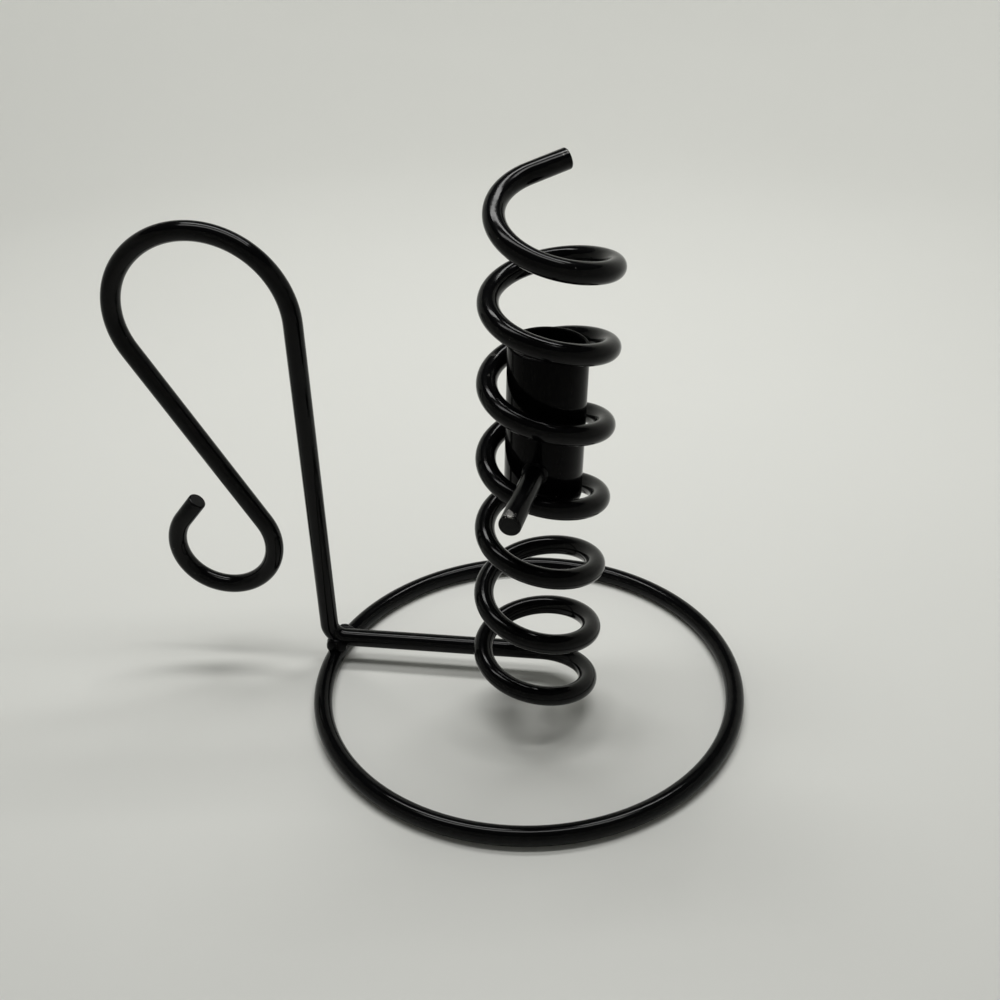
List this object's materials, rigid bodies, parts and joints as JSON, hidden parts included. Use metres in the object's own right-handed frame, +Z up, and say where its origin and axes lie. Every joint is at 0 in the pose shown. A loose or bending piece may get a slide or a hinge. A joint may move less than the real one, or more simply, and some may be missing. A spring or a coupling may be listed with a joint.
{
  "type": "spiral candle holder",
  "caption": "Black wire candle holder: a cup rides inside a spiral and is screwed up or down by its rod; wire carrying handle and ring base.",
  "frame": {"origin": "centre of the footprint, on the table under the base ring", "axes": "+X from the carrying handle to the spiral, +Y to the back, +Z up"},
  "size_m": [0.1636, 0.1164, 0.1468],
  "materials": {
    "enamel": "gloss"
  },
  "bodies": {
    "frame": {"base_ring": "enamel", "handle_wire": "enamel", "spiral_wire": "enamel", "ring_weld": "enamel", "rear_weld": "enamel"},
    "carriage": {"cup_floor": "enamel"},
    "cup": {"cup_tube": "enamel", "lift_rod": "enamel", "rod_weld": "enamel"}
  },
  "joints": [
    {"name": "cup_rise", "type": "slide", "parent": "frame", "child": "carriage", "axis": [0.0436, 0, 0.999], "range_m": [-0.04486, 0.03494]},
    {"name": "cup_turn", "type": "hinge", "parent": "carriage", "child": "cup", "pos_m": [0.02883, -0.0058, 0.06722], "axis": [0.0436, 0, 0.999], "range_deg": [-630, 810]}
  ],
  "couplings": [
    {"joint": "cup_rise", "follows": "cup_turn", "m_per_rad": -0.0031592}
  ]
}
